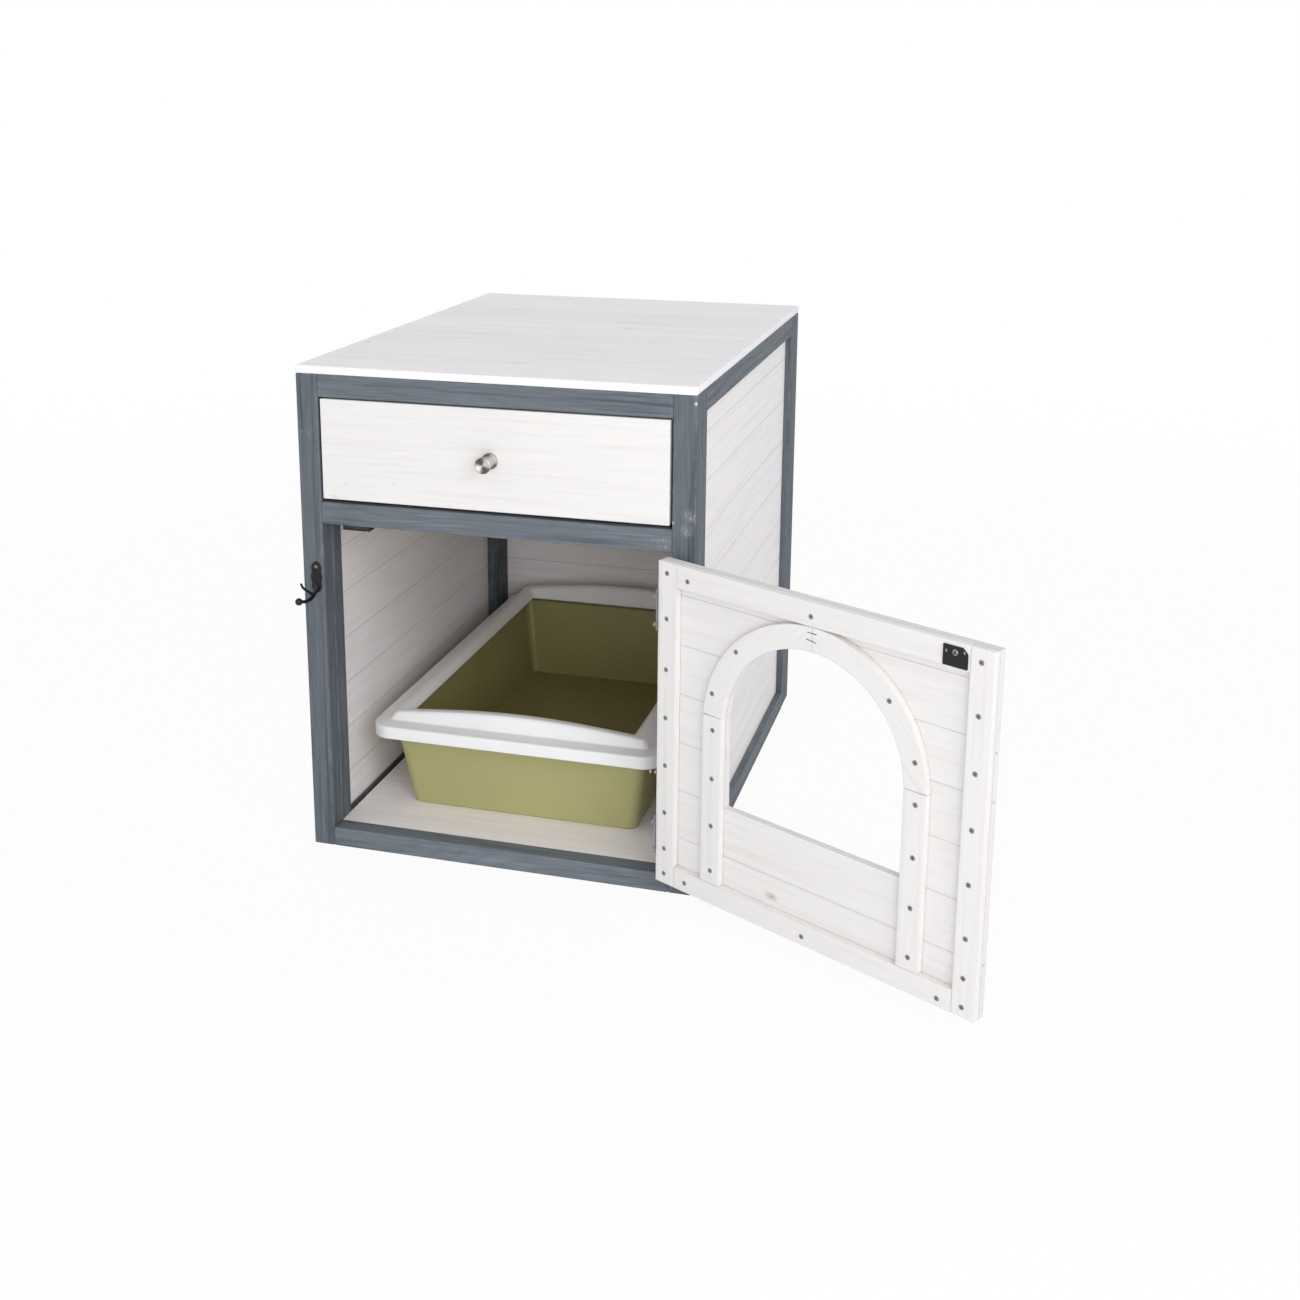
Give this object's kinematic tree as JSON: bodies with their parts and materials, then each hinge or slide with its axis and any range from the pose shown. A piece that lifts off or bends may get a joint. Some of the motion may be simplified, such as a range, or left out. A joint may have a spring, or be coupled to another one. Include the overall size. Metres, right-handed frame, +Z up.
{
  "type": "cat litter box cabinet",
  "caption": "Timber cabinet holding a litter tray behind an arched, side-hinged door, with a drawer above and a scoop hook on the front post.",
  "frame": {"origin": "middle of the cabinet footprint on the ground, on the underside of the centre floor cleat", "axes": "+X to the right seen from the front, +Y from the front to the back, +Z up"},
  "size_m": [0.8593, 0.9058, 0.63],
  "materials": {
    "blue_stain": "blue-grey stain over pine battens, matt, worn a little pale on the arrises",
    "whitewash": "white wash over pine boards, matt, with faint grain",
    "bare_timber": "planed pine, unpainted",
    "olive_plastic": "moulded plastic, satin",
    "white_plastic": "moulded plastic, satin gloss",
    "brushed_steel": "turned and brushed",
    "zinc_steel": "zinc plated",
    "black_iron": "black enamel, semi-gloss",
    "black_plastic": "moulded plastic",
    "magnet_steel": "ground magnet between steel plates"
  },
  "bodies": {
    "cabinet": {"front_left_post": "blue_stain", "front_right_post": "blue_stain", "front_top_rail": "blue_stain", "front_middle_rail": "blue_stain", "front_bottom_rail": "blue_stain", "left_front_stile": "blue_stain", "left_rear_stile": "blue_stain", "left_top_rail": "blue_stain", "left_bottom_rail": "blue_stain", "left_wall_boards": "whitewash", "left_corner_batten": "blue_stain", "right_front_stile": "blue_stain", "right_rear_stile": "blue_stain", "right_top_rail": "blue_stain", "right_bottom_rail": "blue_stain", "right_wall_boards": "whitewash", "right_corner_batten": "blue_stain", "rear_left_post": "blue_stain", "rear_right_post": "blue_stain", "rear_top_rail": "blue_stain", "rear_bottom_rail": "blue_stain", "back_wall_boards": "whitewash", "floor_boards": "whitewash", "floor_left_ledger": "bare_timber", "floor_right_ledger": "bare_timber", "floor_centre_cleat": "bare_timber", "top_panel": "whitewash", "left_drawer_runner": "bare_timber", "right_drawer_runner": "bare_timber", "catch_body": "black_plastic", "catch_magnet": "magnet_steel", "scoop_hook": "black_iron", "hook_screw": "black_iron", "lower_hinge_frame_leaf": "zinc_steel", "lower_hinge_pin": "zinc_steel", "upper_hinge_frame_leaf": "zinc_steel", "upper_hinge_pin": "zinc_steel"},
    "door": {"door_boards": "whitewash", "door_hinge_stile": "whitewash", "door_free_stile": "whitewash", "door_top_rail": "whitewash", "door_bottom_rail": "whitewash", "door_hinge_side_arch": "whitewash", "door_free_side_arch": "whitewash", "door_hinge_side_leg": "whitewash", "door_free_side_leg": "whitewash", "strike_plate": "black_iron", "strike_plate_screw": "zinc_steel", "lower_hinge_door_leaf": "zinc_steel", "upper_hinge_door_leaf": "zinc_steel"},
    "drawer": {"drawer_front": "whitewash", "drawer_left_side": "bare_timber", "drawer_right_side": "bare_timber", "drawer_back": "bare_timber", "drawer_bottom": "bare_timber", "drawer_knob": "brushed_steel", "knob_screw": "zinc_steel"},
    "tray": {"litter_pan": "olive_plastic"},
    "tray_rim": {"pan_rim": "white_plastic"}
  },
  "joints": [
    {"name": "door_hinge", "type": "hinge", "parent": "cabinet", "child": "door", "pos_m": [0.22075, -0.3435, 0.229], "axis": [0, 0, 1], "range_deg": [-152.4, 27.6]},
    {"name": "drawer_slide", "type": "slide", "parent": "cabinet", "child": "drawer", "axis": [0, -1, 0], "range_m": [0, 0.38]},
    {"name": "tray_slide", "type": "slide", "parent": "cabinet", "child": "tray", "axis": [0, -1, 0], "range_m": [-0.01, 0.035]},
    {"name": "rim_lift", "type": "slide", "parent": "tray", "child": "tray_rim", "axis": [0, 0, 1], "range_m": [0, 0.12]}
  ]
}
